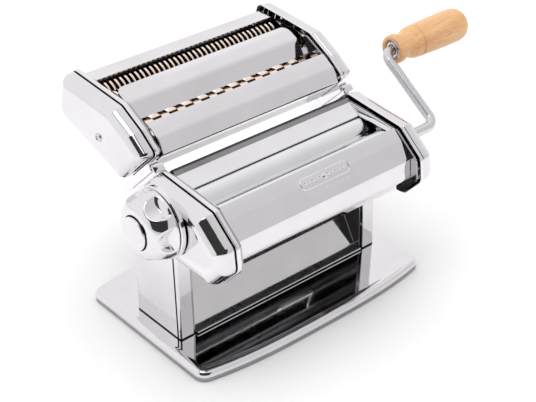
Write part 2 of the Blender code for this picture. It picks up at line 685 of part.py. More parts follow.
def make_cutter_housing():
    bores = [circle(axis, CUTTER_SHAFT_RADIUS + 0.5 * MM, SMALL_SIDES) for _, _, axis, _ in cutter_axes()]
    for side, hand in ((-1, "left"), (1, "right")):
        plate("cutter_end_" + hand, [rounded(CUTTER_END_OUTLINE, True, 3)] + bores, side * FRAME_INNER_X,
              side * FRAME_OUTER_X, "dark_steel", CUTTER_UNIT)
        cover = side_cover("cutter_cover_" + hand, side, CUTTER_COVER_OUTLINE, CUTTER_COVER_OUTER_X,
                           "chrome", CUTTER_UNIT)
        if side > 0:
            for _, place, (y, z), _ in cutter_axes():
                if place == "rear":
                    drill(cover, (CUTTER_COVER_OUTER_X, y, z), SOCKET_BORE_RADIUS + 0.7 * MM)
        head_x = CUTTER_COVER_OUTER_X + GAP
        head = [(0, head_x + 1.8 * MM), (2.6 * MM, head_x + 1.8 * MM), (3.4 * MM, head_x + 1 * MM),
                (3.4 * MM, head_x), (0, head_x)]
        screw_head("cutter_screw_" + hand, side, head, CUTTER_SCREW_PLACE, CUTTER_UNIT)
    sheet("cutter_front_panel", CUTTER_FRONT_PANEL_PATH, PANEL_HALF_WIDTH, "chrome", CUTTER_UNIT)
    sheet("cutter_middle_panel", CUTTER_MIDDLE_PANEL_PATH, PANEL_HALF_WIDTH, "chrome", CUTTER_UNIT,
          THIN_SHEET)
    sheet("cutter_rear_panel", CUTTER_REAR_PANEL_PATH, PANEL_HALF_WIDTH, "chrome", CUTTER_UNIT, inward=False)
    length = PANEL_HALF_WIDTH
    turned("cutter_tie_rod", [(0, length), (3 * MM, length), (3 * MM, -length), (0, -length)], "dark_steel",
           CUTTER_UNIT, (0, 40 * MM, 116.5 * MM), SMALL_SIDES)


def screw_head(name, side, head, place, pivot):
    """A domed screw head on a cover; the left one faces the other way."""
    screw = turned(name, head, "polished_steel", pivot, (0, place[0] * MM, place[1] * MM), 12)
    if side < 0:
        screw.rotation_euler = (0, -pi / 2, 0)


# Assembly ---------------------------------------------------------------------------------
clear_scene()
PARTS = collection("pasta_roller_machine")
CUTTERS = collection("cutters")
FINISHES = {
    "chrome": material("chrome", (0.86, 0.86, 0.87), 1, 0.12),
    "polished_steel": material("polished_steel", (0.80, 0.80, 0.81), 1, 0.18),
    "roller_steel": material("roller_steel", (0.72, 0.73, 0.74), 1, 0.28),
    "brass_steel": material("brass_steel", (0.78, 0.64, 0.38), 1, 0.3),
    "dark_steel": material("dark_steel", (0.20, 0.20, 0.21), 1, 0.45),
    "beech": material("beech", (0.80, 0.47, 0.20), 0, 0.5),
    "rubber": material("rubber", (0.03, 0.03, 0.03), 0, 0.8),
    "black_plastic": material("black_plastic", (0.02, 0.02, 0.02), 0, 0.5),
}

MACHINE = bpy.data.objects.new("machine_origin", None)
PARTS.objects.link(MACHINE)
MACHINE.location = (-(KNOB_FRONT_X + MACHINE_RIGHT_X) / 2, -(MACHINE_FRONT_Y + MACHINE_BACK_Y) / 2, 0)

FRONT_DRIVE = empty("front_drive_axis", (0, FRONT_ROLLER_Y, ROLLER_HEIGHT), MACHINE)
CRANK = empty("crank_axis", (CRANK_START_X, FRONT_ROLLER_Y, ROLLER_HEIGHT), FRONT_DRIVE)
GRIP = empty("grip_axis", (GRIP_START_X, *grip_axis()), CRANK)
CARRIAGE = empty("carriage_origin", (0, REAR_ROLLER_Y, ROLLER_HEIGHT), MACHINE)
REAR_DRIVE = empty("rear_drive_axis", (0, REAR_ROLLER_Y, ROLLER_HEIGHT), CARRIAGE)
REGULATOR = empty("regulator_axis", (KNOB_BACK_X, REAR_ROLLER_Y, ROLLER_HEIGHT), MACHINE)
KNOB = empty("knob_axis", (KNOB_BACK_X, REAR_ROLLER_Y, ROLLER_HEIGHT), REGULATOR)
CUTTER_UNIT = empty("cutter_unit_origin", (0, RAIL_MIDDLE_Y, CUTTER_SLOPE_SUM - RAIL_MIDDLE_Y), MACHINE)
CUTTER_DRIVES = {
    kind + "_cutter_" + place: empty(kind + "_" + place + "_axis", (0, *axis), CUTTER_UNIT)
    for kind, place, axis, _ in cutter_axes()
}

make_base()
make_feet()
make_side_frames()
make_legs()
make_body_covers()
make_body_sheets()
make_tie_rods()
make_scrapers()
make_rails()
make_smooth_rollers()
make_roller_gears()
make_drive_socket("front_drive_socket", (FRONT_ROLLER_Y, ROLLER_HEIGHT), COVER_OUTER_X - SHEET_METAL - GAP,
                  FRONT_DRIVE)
make_carriage()
make_regulator()
make_knob()
make_crank()
make_grip()
make_cutting_rollers()
make_cutter_housing()
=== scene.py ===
"""Looks for the pasta roller machine: fine surfaces, procedural finishes, studio and camera.

Shapes are written in millimetres about the centre of the base: +X points to the crank,
-Y is the front, +Z is up. ORIGIN moves them to where the frame stands.
"""
from math import cos, pi, radians, sin, sqrt, tan

import bmesh
import bpy
from mathutils import Matrix, Vector

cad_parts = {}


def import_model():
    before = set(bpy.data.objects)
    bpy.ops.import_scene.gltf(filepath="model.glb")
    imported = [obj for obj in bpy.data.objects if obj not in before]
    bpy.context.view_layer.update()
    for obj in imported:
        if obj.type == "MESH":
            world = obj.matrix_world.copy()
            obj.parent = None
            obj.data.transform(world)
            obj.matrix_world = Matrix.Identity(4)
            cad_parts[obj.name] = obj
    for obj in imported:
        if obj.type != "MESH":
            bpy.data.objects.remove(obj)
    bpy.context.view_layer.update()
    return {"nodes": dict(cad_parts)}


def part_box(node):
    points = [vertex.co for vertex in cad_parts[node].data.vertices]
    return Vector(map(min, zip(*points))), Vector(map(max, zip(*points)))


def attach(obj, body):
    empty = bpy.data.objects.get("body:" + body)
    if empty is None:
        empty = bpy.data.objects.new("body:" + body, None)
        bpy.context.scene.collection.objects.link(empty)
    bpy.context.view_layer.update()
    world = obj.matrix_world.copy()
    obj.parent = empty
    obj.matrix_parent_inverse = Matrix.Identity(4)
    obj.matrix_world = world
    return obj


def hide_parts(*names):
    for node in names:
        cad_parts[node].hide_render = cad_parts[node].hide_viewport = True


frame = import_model()

MM = 0.001
BASE_LOW, BASE_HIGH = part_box("base")
ORIGIN = Vector(((BASE_LOW.x + BASE_HIGH.x) / 2, (BASE_LOW.y + BASE_HIGH.y) / 2, 0))

# Outlines and sheet paths: (y, z, corner radius).
BODY_COVER = [
    (-2.5, 128.7, 4), (-56, 124, 5), (-67, 115, 6), (-77, 107, 7), (-79, 90, 9),
    (-64, 73.5, 6), (27, 75, 3), (33, 93.2, 5),
]
CUTTER_COVER = [
    (94.2, 165.4, 6), (36.6, 161.2, 9), (16.8, 150.7, 9), (0.4, 138.4, 5),
    (30.4, 108.4, 5), (97, 129.5, 5), (101, 137, 5), (98.8, 150, 6),
]
FRONT_PANEL = [(-53, 123, 0), (-61, 116, 5), (-70, 105, 6), (-71, 91, 9), (-59, 76, 7), (-40, 75.5, 0)]
REAR_PANEL = [(-22, 120.6, 0), (-9, 125, 3), (-5.2, 128.4, 2), (31.8, 93.2, 4), (27, 78, 0)]
EXIT_RAMP = [(-27, 9.6, 0), (-19.5, 9.6, 2), (10, 60, 4), (22, 66, 0)]
CUTTER_FRONT = [(19.3, 152.4, 0), (7.4, 145.2, 9), (2.6, 135.6, 2), (24.5, 113.7, 0)]
CUTTER_MIDDLE = [(57, 161.2, 0), (43.5, 155.4, 9), (36.9, 145.3, 0)]
CUTTER_REAR = [(75.8, 161.2, 0), (91, 161.2, 5), (96.4, 149.8, 5), (100, 137, 4), (96.5, 130.6, 0)]

PANEL_HALF_WIDTH = 77.2
SHEET = 1.2
THIN_SHEET = 1.0
COVER_INNER = 80.0
BODY_COVER_OUTER = 97.0
CUTTER_COVER_OUTER = 95.0


# Placing and building ------------------------------------------------------------------------
def axis_of(node):
    """(y, z) of a turned node's axis, about the centre of the base, in millimetres."""
    low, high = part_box(node)
    middle = ((low + high) / 2 - ORIGIN) / MM
    return middle.y, middle.z


def span_of(node):
    """(lowest, highest) x of a node, about the centre of the base, in millimetres."""
    low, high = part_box(node)
    return (low.x - ORIGIN.x) / MM, (high.x - ORIGIN.x) / MM


def piece(name, points, faces, finish, body, stands_for=(), sharp=30.0, materials=None,
          indices=None, recalculate=True):
    """A mesh from points in millimetres, smooth except where its faces meet sharply.

    Where there is more than one finish, materials lists them and indices gives each face's own.
    """
    mesh = bpy.data.meshes.new(name)
    mesh.from_pydata([ORIGIN + Vector(point) * MM for point in points], [], faces)
    for material in materials or [finish]:
        mesh.materials.append(material)
    if indices:
        mesh.polygons.foreach_set("material_index", indices)
    bm = bmesh.new()
    bm.from_mesh(mesh)
    bmesh.ops.remove_doubles(bm, verts=bm.verts, dist=0.000002)
    if recalculate:
        bmesh.ops.recalc_face_normals(bm, faces=bm.faces)
    limit = radians(sharp)
    for face in bm.faces:
        face.smooth = True
    for edge in bm.edges:
        if len(edge.link_faces) == 2 and edge.calc_face_angle(0.0) > limit:
            edge.smooth = False
    bm.to_mesh(mesh)
    bm.free()
    made = bpy.data.objects.new(name, mesh)
    bpy.context.scene.collection.objects.link(made)
    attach(made, body)
    if stands_for:
        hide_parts(*stands_for)
    return made


def thicken(made, thickness, offset):
    """Give a surface the thickness of its sheet, in millimetres."""
    solid = made.modifiers.new("sheet", "SOLIDIFY")
    solid.thickness = thickness * MM
    solid.offset = offset
    solid.use_even_offset = True
    solid.use_quality_normals = True
    return solid


def even_normals(made, weight):
    """Let large flat faces lead the shading, so they reflect as flat."""
    weighted = made.modifiers.new("normals", "WEIGHTED_NORMAL")
    weighted.keep_sharp = True
    weighted.weight = weight


def soften(made, width):
    """Round the sharp edges by a width in millimetres."""
    bevel = made.modifiers.new("edges", "BEVEL")
    bevel.width = width * MM
    bevel.segments = 2
    bevel.limit_method = "ANGLE"
    bevel.angle_limit = radians(40)
    bevel.harden_normals = False
    even_normals(made, 60)


def cut(made, cutter):
    """Take the cutter's shape out of a piece, and remove the cutter."""
    boolean = made.modifiers.new("cut", "BOOLEAN")
    boolean.operation = "DIFFERENCE"
    boolean.solver = "EXACT"
    boolean.object = cutter
    bpy.context.view_layer.objects.active = made
    made.select_set(True)
    bpy.ops.object.modifier_apply(modifier="cut")
    bpy.data.objects.remove(cutter)


def apply_modifiers(made):
    bpy.context.view_layer.objects.active = made
    for modifier in list(made.modifiers):
        bpy.ops.object.modifier_apply(modifier=modifier.name)


# Outlines ------------------------------------------------------------------------------------
def rounded(points, closed=True, steps=8):
    """The outline with each corner replaced by an arc of its own radius."""
    corners = [(Vector((p[0], p[1])), p[2]) for p in points]
    count = len(corners)
    outline = []
    for index, (corner, radius) in enumerate(corners):
        at_end = not closed and index in (0, count - 1)
        if at_end or radius <= 0:
            outline.append(corner)
            continue
        before = (corners[index - 1][0] - corner).normalized()
        after = (corners[(index + 1) % count][0] - corner).normalized()
        half_angle = before.angle(after) / 2
        reach = radius / tan(half_angle)
        centre = corner + (before + after).normalized() * radius / sin(half_angle)
        start = corner + before * reach - centre
        turn = start.angle_signed(corner + after * reach - centre)
        for step in range(steps + 1):
            angle = -turn * step / steps
            outline.append(centre + Vector((start.x * cos(angle) - start.y * sin(angle),
                                            start.x * sin(angle) + start.y * cos(angle))))
    return outline


def inset(points, depth, least=0.4):
    """The outline moved inwards on every side, with its corner radii reduced to match."""
    corners = [Vector((p[0], p[1])) for p in points]
    following = corners[1:] + corners[:1]
    area = sum(a.x * b.y - b.x * a.y for a, b in zip(corners, following))
    way = 1 if area > 0 else -1
    moved = []
    for index, corner in enumerate(corners):
        before = (corner - corners[index - 1]).normalized()
        after = (following[index] - corner).normalized()
        inwards = [Vector((-side.y, side.x)) * way for side in (before, after)]
        bisector = (inwards[0] + inwards[1]).normalized()
        shift = bisector * depth / bisector.dot(inwards[0])
        moved.append((corner.x + shift.x, corner.y + shift.y, max(points[index][2] - depth, least)))
    return moved


def ring_faces(rows, columns, closed=True):
    """Quads between successive rows of points."""
    faces = []
    for row in range(rows - 1):
        for column in range(columns if closed else columns - 1):
            beside = (column + 1) % columns
            faces.append((row * columns + column, row * columns + beside,
                          (row + 1) * columns + beside, (row + 1) * columns + column))
    return faces


def subdivided(line, longest=8.0):
    """The line with points added so that no piece of it is longer than the given length."""
    made = [line[0]]
    for start, end in zip(line, line[1:]):
        parts = max(1, int((end - start).length / longest + 0.999))
        made += [start.lerp(end, step / parts) for step in range(1, parts + 1)]
    return made


# Finishes ------------------------------------------------------------------------------------
class Graph:
    """A short way to write a node tree."""

    def __init__(self, name):
        self.material = bpy.data.materials.new(name)
        self.material.use_nodes = True
        self.tree = self.material.node_tree
        self.shader = self.tree.nodes["Principled BSDF"]
        self.place = self.node("ShaderNodeTexCoord").outputs["Object"]

    def node(self, kind, **settings):
        made = self.tree.nodes.new(kind)
        for key, value in settings.items():
            setattr(made, key, value)
        return made

    def put(self, value, socket):
        if isinstance(value, bpy.types.NodeSocket):
            self.tree.links.new(value, socket)
        else:
            socket.default_value = value

    def stretched(self, scale, turn=(0, 0, 0)):
        mapping = self.node("ShaderNodeMapping")
        self.put(self.place, mapping.inputs["Vector"])
        mapping.inputs["Scale"].default_value = scale
        mapping.inputs["Rotation"].default_value = turn
        return mapping.outputs["Vector"]

    def noise(self, scale, detail=3.0, roughness=0.55, vector=None, distortion=0.0):
        texture = self.node("ShaderNodeTexNoise")
        self.put(vector or self.place, texture.inputs["Vector"])
        texture.inputs["Scale"].default_value = scale
        texture.inputs["Detail"].default_value = detail
        texture.inputs["Roughness"].default_value = roughness
        texture.inputs["Distortion"].default_value = distortion
        return texture.outputs["Fac"]

    def remap(self, value, low, high, to_low=0.0, to_high=1.0):
        ranged = self.node("ShaderNodeMapRange")
        self.put(value, ranged.inputs["Value"])
        for key, number in (("From Min", low), ("From Max", high), ("To Min", to_low), ("To Max", to_high)):
            ranged.inputs[key].default_value = number
        return ranged.outputs["Result"]

    def maths(self, operation, first, second):
        made = self.node("ShaderNodeMath", operation=operation)
        self.put(first, made.inputs[0])
        self.put(second, made.inputs[1])
        return made.outputs["Value"]

    def mix(self, share, first, second):
        made = self.node("ShaderNodeMix", data_type="RGBA")
        self.put(share, made.inputs[0])
        for value, socket in ((first, made.inputs[6]), (second, made.inputs[7])):
            self.put((*value, 1) if isinstance(value, tuple) else value, socket)
        return made.outputs[2]

    def bump(self, height, distance, below=None):
        made = self.node("ShaderNodeBump")
        made.inputs["Strength"].default_value = 1.0
        made.inputs["Distance"].default_value = distance
        self.put(height, made.inputs["Height"])
        if below:
            self.put(below, made.inputs["Normal"])
        return made.outputs["Normal"]

    def finish(self, colour, roughness, normal, **constants):
        self.put(colour, self.shader.inputs["Base Color"])
        self.put(roughness, self.shader.inputs["Roughness"])
        self.put(normal, self.shader.inputs["Normal"])
        for key, value in constants.items():
            self.shader.inputs[key.replace("_", " ")].default_value = value
        return self.material


def metal(name, dark, light, rough, grain, grain_depth, wave_depth=0.0, blotch=30.0):
    """Metal with drifting colour, a directional grain, faint dents and worn edges.

    Dark and light are the ends of its colour and rough those of its roughness. The grain's scale is
    per axis, and the two depths are in metres.
    """
    graph = Graph(name)
    drift = graph.noise(blotch, 4.0, 0.6)
    lines = graph.noise(1.0, 3.0, 0.6, graph.stretched(grain))
    smudge = graph.noise(blotch * 2.3, 5.0, 0.65, distortion=0.6)
    shade = graph.maths("ADD", graph.maths("MULTIPLY", lines, 0.35),
                        graph.remap(drift, 0.3, 0.7, 0.0, 0.65))
    colour = graph.mix(shade, dark, light)
    worn = graph.remap(graph.node("ShaderNodeNewGeometry").outputs["Pointiness"], 0.52, 0.6)
    colour = graph.mix(worn, colour, tuple(min(1.0, part * 1.08) for part in light))
    dull = graph.maths("ADD", graph.remap(smudge, 0.35, 0.75, rough[0], rough[1]),
                       graph.remap(lines, 0.55, 0.85, 0.0, (rough[1] - rough[0]) * 0.5))
    normal = graph.bump(lines, grain_depth)
    if wave_depth:
        normal = graph.bump(graph.noise(16.0, 1.0, 0.4), wave_depth, normal)
    return graph.finish(colour, dull, normal, Metallic=1.0)


def wood(name):
    """Pale beech: long soft bands, short dark flecks and fine fibres along X."""
    graph = Graph(name)
    bands = graph.noise(1.0, 3.0, 0.5, graph.stretched((14, 95, 95)), 0.4)
    fibres = graph.noise(1.0, 4.0, 0.6, graph.stretched((60, 1100, 1100)))
    flecks = graph.noise(1.0, 2.0, 0.5, graph.stretched((190, 1500, 1500)))
    pores = graph.remap(flecks, 0.62, 0.72)
    colour = graph.mix(graph.remap(bands, 0.3, 0.7), (0.60, 0.29, 0.11), (0.82, 0.48, 0.22))
    colour = graph.mix(graph.remap(fibres, 0.35, 0.75, 0.0, 0.55), colour, (0.90, 0.60, 0.33))
    colour = graph.mix(graph.maths("MULTIPLY", pores, 0.75), colour, (0.40, 0.18, 0.07))
    rough = graph.remap(fibres, 0.3, 0.7, 0.38, 0.52)
    height = graph.maths("SUBTRACT", fibres, pores)
    normal = graph.bump(height, 0.00003)
    return graph.finish(colour, rough, normal, Metallic=0.0, Coat_Weight=0.18, Coat_Roughness=0.25)


def moulded(name, dark, light, rough, depth, scale):
    """Rubber or plastic with a fine moulded texture and a little dust."""
    graph = Graph(name)
    skin = graph.noise(scale, 4.0, 0.6)
    dust = graph.noise(60.0, 5.0, 0.7)
    colour = graph.mix(graph.remap(dust, 0.4, 0.75), dark, light)
    dull = graph.remap(skin, 0.3, 0.7, *rough)
    return graph.finish(colour, dull, graph.bump(skin, depth), Metallic=0.0)


CHROME = metal("chrome_finish", (0.74, 0.725, 0.75), (0.82, 0.805, 0.825), (0.035, 0.085),
               (90, 700, 700), 0.0000012, 0.00006)
RAMP_STEEL = metal("ramp_finish", (0.62, 0.605, 0.615), (0.72, 0.705, 0.715), (0.06, 0.13),
                   (40, 1100, 1100), 0.000003, 0.00004)
POLISHED = metal("rod_finish", (0.66, 0.65, 0.67), (0.72, 0.715, 0.73), (0.26, 0.32),
                 (120, 300, 300), 0.0000003)
ROLLER_STEEL = metal("roller_finish", (0.66, 0.66, 0.675), (0.82, 0.82, 0.83), (0.10, 0.20),
                     (1500, 60, 60), 0.000005)
BRASS = metal("cutter_finish", (0.72, 0.56, 0.46), (0.93, 0.80, 0.70), (0.12, 0.24),
              (2400, 90, 90), 0.000004, blotch=70.0)
# Painted shade: a darker copper for the cores between the wide cutter's rings.
WIDE_GAP_SHADE = metal("wide_gap_painted_shade", (0.42, 0.31, 0.25), (0.62, 0.49, 0.41), (0.3, 0.45),
                 (2400, 90, 90), 0.000004, blotch=70.0)
DARK_STEEL = metal("frame_finish", (0.055, 0.055, 0.06), (0.14, 0.14, 0.145), (0.25, 0.45),
                   (300, 900, 900), 0.00001)
# The side frames' own darker chrome; on sheet zones and the base's skirt it is painted shade.
FRAME_CHROME_AND_SHADE = metal("side_frame_and_painted_shade", (0.22, 0.21, 0.22), (0.42, 0.41, 0.42), (0.06, 0.14),
                     (300, 900, 900), 0.000002, 0.00004)
# Painted shade: near black for the grooves between the fine cutter's rings.
RING_GAP_SHADE = metal("ring_gap_painted_shade", (0.030, 0.018, 0.012), (0.11, 0.065, 0.045), (0.3, 0.5),
                 (300, 900, 900), 0.00001)
# Painted shade: near black for the sheets' inner sides and the rear panel's crest.
INNER_SHADE = metal("inner_painted_shade", (0.035, 0.035, 0.038), (0.10, 0.10, 0.105), (0.18, 0.32),
                    (300, 900, 900), 0.000006)
# Painted shade: near black for the cover seams, the leg's groove and foot, and the ring round the knob's
# cap.
GROOVE_SHADE = metal("seam_painted_shade", (0.010, 0.010, 0.011), (0.022, 0.022, 0.024), (0.35, 0.55),
               (300, 900, 900), 0.00001)
BEECH = wood("beech_finish")
RUBBER = moulded("rubber_finish", (0.016, 0.016, 0.017), (0.05, 0.05, 0.05), (0.65, 0.85),
                 0.00006, 900.0)
PLASTIC = moulded("plastic_finish", (0.012, 0.012, 0.013), (0.035, 0.035, 0.036), (0.35, 0.5),
                  0.00002, 1200.0)

# Words in the names of the CAD nodes that stay visible, for the finishes that aren't chrome.
DARK_NODES = ("tie_rod", "gear", "drive_socket", "carriage_arm", "regulator")
FRAME_NODES = ("side_frame", "cutter_end")
PLASTIC_NODES = ("scraper",)


def finish_for(node):
    """The finish of a CAD node that no piece replaces."""
    if any(word in node for word in PLASTIC_NODES):
        return PLASTIC
    if any(word in node for word in DARK_NODES):
        return DARK_STEEL
    if any(word in node for word in FRAME_NODES):
        return FRAME_CHROME_AND_SHADE
    return CHROME


for node_name, node_object in frame["nodes"].items():
    if not node_object.material_slots:
        node_object.data.materials.append(finish_for(node_name))
    for material_slot in node_object.material_slots:
        material_slot.material = finish_for(node_name)


# Sheet metal ---------------------------------------------------------------------------------
OUTER_FACE = 0
DARK_ZONE = 2
OTHER_ZONE = 4


def sheet(name, path, finish, body, thickness=SHEET, half_width=PANEL_HALF_WIDTH, corner=0.0,
          zone_at=None, inside=INNER_SHADE, other=FRAME_CHROME_AND_SHADE):
    """A bent panel carried across the machine, whose inner side takes a finish of its own: near-black
    painted shade unless another is given.

    A corner radius rounds both ends of the path's first edge. For a point on the path, zone_at gives
    OUTER_FACE, DARK_ZONE (near-black painted shade) or OTHER_ZONE, which takes the other finish.
    """
    line = subdivided(rounded(path, False, 12))
    columns = [-half_width, -half_width / 3, half_width / 3, half_width]
    for step in range(8 if corner else 0):
        across = half_width - corner + corner * sin(radians(90 * step / 8))
        columns += [-across, across]
    columns.sort()
    points = []
    for x in columns:
        beyond = max(0.0, abs(x) - (half_width - corner))
        shift = corner - sqrt(max(0.0, corner ** 2 - beyond ** 2))
        first = line[0] + (line[1] - line[0]).normalized() * shift
        points += [(x, point.x, point.y) for point in [first] + line[1:]]
    faces = ring_faces(len(columns), len(line), False)
    indices = [zone_at(line[face[0] % len(line)]) if zone_at else OUTER_FACE for face in faces]
    # Each outer finish is followed by the one that its inner side takes.
    # The near black on the inner sides and the dark zone is painted shade.
    finishes = [finish, inside, INNER_SHADE, INNER_SHADE, other, INNER_SHADE]
    made = piece(name + "_sheet", points, faces, finish, body, [name], 60, finishes, indices,
                 recalculate=False)
    thicken(made, thickness, -1).material_offset = 1
    soften(made, 0.3)


def crest_shade_zone(point):
    """The rear panel's upturned lip, painted as shade: near black at its crest and mid-grey in front of it.
    """
    if point.y < 125 or point.x > -3.0:
        return OUTER_FACE
    return DARK_ZONE if point.x > -6.4 else OTHER_ZONE


def ramp_lip_zone(point):
    return OTHER_ZONE if point.x < -18 else OUTER_FACE


def underside_shade_zone(point):
    """The part of the cutter's front panel that turns under, painted darker as shade."""
    return OTHER_ZONE if point.x + point.y < 138.6 and point.x > 8 else OUTER_FACE


sheet("front_panel", FRONT_PANEL, CHROME, "body")
sheet("rear_panel", REAR_PANEL[::-1], CHROME, "body", THIN_SHEET, zone_at=crest_shade_zone)
sheet("exit_ramp", EXIT_RAMP[::-1], RAMP_STEEL, "body", zone_at=ramp_lip_zone,
      inside=RAMP_STEEL, other=POLISHED)
sheet("cutter_front_panel", CUTTER_FRONT, CHROME, "cutter_unit", zone_at=underside_shade_zone)
sheet("cutter_middle_panel", CUTTER_MIDDLE, CHROME, "cutter_unit", THIN_SHEET, 75.0,
      corner=6.0)
sheet("cutter_rear_panel", CUTTER_REAR[::-1], CHROME, "cutter_unit")


# Pressed covers ------------------------------------------------------------------------------
SHADED_SEAM_ROWS = (4, 5)
COVER_SHEET = 0.8


def cover(name, outline, side, outer, body, holes, edge_radius=8.5):
    """A drawn cover: a rolled lip, a seam painted dark as shade and a domed cup whose edge is well rounded.

    Its sections are (inset, x) from the inner lip outwards. The holes are (y, z) of their centres.
    """
    shoulder = outer - edge_radius
    sections = [(0.35, COVER_INNER), (0.0, COVER_INNER + 0.3), (0.0, 82.4), (0.2, 82.8), (0.75, 83.0),
                (1.6, 83.05), (1.6, 83.75), (1.15, 84.1), (1.0, 84.6), (1.0, (84.6 + shoulder) / 2)]
    for step in range(16):
        angle = radians(6 * step)
        sections.append((1.0 + edge_radius * (1 - cos(angle)), shoulder + edge_radius * sin(angle)))
    rows = [rounded(inset(outline, depth), True, 9) for depth, _ in sections]
    columns = len(rows[0])
    points = [(side * x, point.x, point.y) for row, (_, x) in zip(rows, sections) for point in row]
    faces = ring_faces(len(rows), columns)
    # The seam rows take the near-black painted shade.
    indices = [1 if face[0] // columns in SHADED_SEAM_ROWS else 0 for face in faces]
    last = (len(rows) - 1) * columns
    faces.append(tuple(range(last, last + columns)))
    indices.append(0)
    made = piece(name + "_pressing", points, faces, CHROME, body, [name], 60,
                 [CHROME, GROOVE_SHADE], indices)
    thicken(made, COVER_SHEET, -1)
    apply_modifiers(made)
    for y, z in holes:
        bpy.ops.mesh.primitive_cylinder_add(vertices=64, radius=HOLE_RADIUS * MM, depth=12 * MM)
        cutter = bpy.context.object
        cutter.rotation_euler = (0, pi / 2, 0)
        cutter.location = ORIGIN + Vector((side * outer, y, z)) * MM
        cut(made, cutter)
    even_normals(made, 80)


FRONT_AXIS = axis_of("front_roller")
REAR_AXIS = axis_of("knob_dial")
FINE_SOCKET = axis_of("fine_drive_socket")
WIDE_SOCKET = axis_of("wide_drive_socket")
HOLE_RADIUS = 5.0
BODY_EDGE_RADIUS = 10.8
cover("side_cover_left", BODY_COVER, -1, BODY_COVER_OUTER, "body", [REAR_AXIS], BODY_EDGE_RADIUS)
cover("side_cover_right", BODY_COVER, 1, BODY_COVER_OUTER, "body", [FRONT_AXIS], BODY_EDGE_RADIUS)
cover("cutter_cover_left", CUTTER_COVER, -1, CUTTER_COVER_OUTER, "cutter_unit", [])
cover("cutter_cover_right", CUTTER_COVER, 1, CUTTER_COVER_OUTER, "cutter_unit",
      [FINE_SOCKET, WIDE_SOCKET])


# Turned pieces -------------------------------------------------------------------------------
def turned(name, profile, axis, finish, body, stands_for, segments=96, sharp=30.0, shape=None,
           loop=False, second=None, in_second=None):
    """A turned piece about X. The profile is (x, radius); shape may change a radius by angle.

    Where in_second says so of two neighbouring profile points, the surface takes the second finish.
    """
    indices = []
    points = []
    faces = []
    rows = []
    for x, radius in profile:
        if radius <= 0:
            rows.append([len(points)])
            points.append((x, *axis))
            continue
        rows.append(list(range(len(points), len(points) + segments)))
        for step in range(segments):
            angle = 2 * pi * step / segments
            reach = shape(x, radius, angle) if shape else radius
            points.append((x, axis[0] + reach * cos(angle), axis[1] + reach * sin(angle)))
    order = list(range(len(rows))) + ([0] if loop else [])
    for here, there in zip(order, order[1:]):
        near = rows[here]
        far = rows[there]
        if len(near) == 1 and len(far) == 1:
            continue
        zone = 1 if in_second and in_second(profile[here], profile[there]) else 0
        for step in range(segments):
            beside = (step + 1) % segments
            if len(near) == 1:
                faces.append((near[0], far[step], far[beside]))
            elif len(far) == 1:
                faces.append((near[step], near[beside], far[0]))
            else:
                faces.append((near[step], near[beside], far[beside], far[step]))
            indices.append(zone)
    return piece(name, points, faces, finish, body, stands_for, sharp,
                 [finish, second] if second else None, indices)


def arc(centre, radius, start, end, steps):
    """Points on an arc, as (x, radius) pairs; angles in degrees from +X towards the outside."""
    made = []
    for step in range(steps + 1):
        angle = radians(start + (end - start) * step / steps)
        made.append((centre[0] + radius * cos(angle), centre[1] + radius * sin(angle)))
    return made


ROLLER_HALF = 75
ROLLER_RADIUS = 13
ROLLER_SHAFT = 5


def smooth_roller(name):
    """A plain drum on a thinner shaft, with its edges broken."""
    left_end, right_end = span_of(name)
    profile = [(right_end, 0), (right_end, ROLLER_SHAFT - 0.6), (right_end - 0.6, ROLLER_SHAFT),
               (ROLLER_HALF, ROLLER_SHAFT), (ROLLER_HALF, ROLLER_RADIUS - 0.6),
               (ROLLER_HALF - 0.6, ROLLER_RADIUS), (-ROLLER_HALF + 0.6, ROLLER_RADIUS),
               (-ROLLER_HALF, ROLLER_RADIUS - 0.6), (-ROLLER_HALF, ROLLER_SHAFT),
               (left_end + 0.6, ROLLER_SHAFT), (left_end, ROLLER_SHAFT - 0.6), (left_end, 0)]
    turned(name + "_drum", profile, axis_of(name), ROLLER_STEEL, name, [name], 128)


smooth_roller("front_roller")
smooth_roller("rear_roller")

RING_RADIUS = 9.6
RING_CORE = 6.9
RING_SHAFT = 4


def cutting_roller(name, rings, shift, gap, gap_below):
    """A shaft with cutting rings whose corners are broken.

    The rings stand a quarter of their pitch to one side, so that a pair of rollers meshes. Surfaces
    below the radius gap_below take the gap's darker finish, painted shade between the rings.
    """
    low, high = span_of(name)
    pitch = 2 * ROLLER_HALF / rings
    half = pitch / 4 - 0.2
    chamfer = 0.18
    profile = [(high, 0), (high, 3.6), (high - 0.4, RING_SHAFT), (ROLLER_HALF, RING_SHAFT),
               (ROLLER_HALF, RING_CORE)]
    for ring in reversed(range(rings)):
        middle = -ROLLER_HALF + (ring + 0.5) * pitch + shift * pitch / 4
        right = middle + half
        left = middle - half
        profile += [(right, RING_CORE), (right, RING_RADIUS - chamfer), (right - chamfer, RING_RADIUS),
                    (left + chamfer, RING_RADIUS), (left, RING_RADIUS - chamfer), (left, RING_CORE)]
    profile += [(-ROLLER_HALF, RING_CORE), (-ROLLER_HALF, RING_SHAFT), (low + 0.4, RING_SHAFT),
                (low, 3.6), (low, 0)]
    # Faces below gap_below take the painted shade of the gap.
    turned(name + "_rings", profile, axis_of(name), BRASS, name, [name], 64,
           second=gap, in_second=lambda here, there: max(here[1], there[1]) <= gap_below)


for place, way in (("front", -1), ("rear", 1)):
    cutting_roller("fine_cutter_" + place, 36, way, RING_GAP_SHADE, RING_RADIUS - 0.1)
for place, way in (("front", -1), ("rear", 1)):
    cutting_roller("wide_cutter_" + place, 11, way, WIDE_GAP_SHADE, RING_CORE + 0.05)


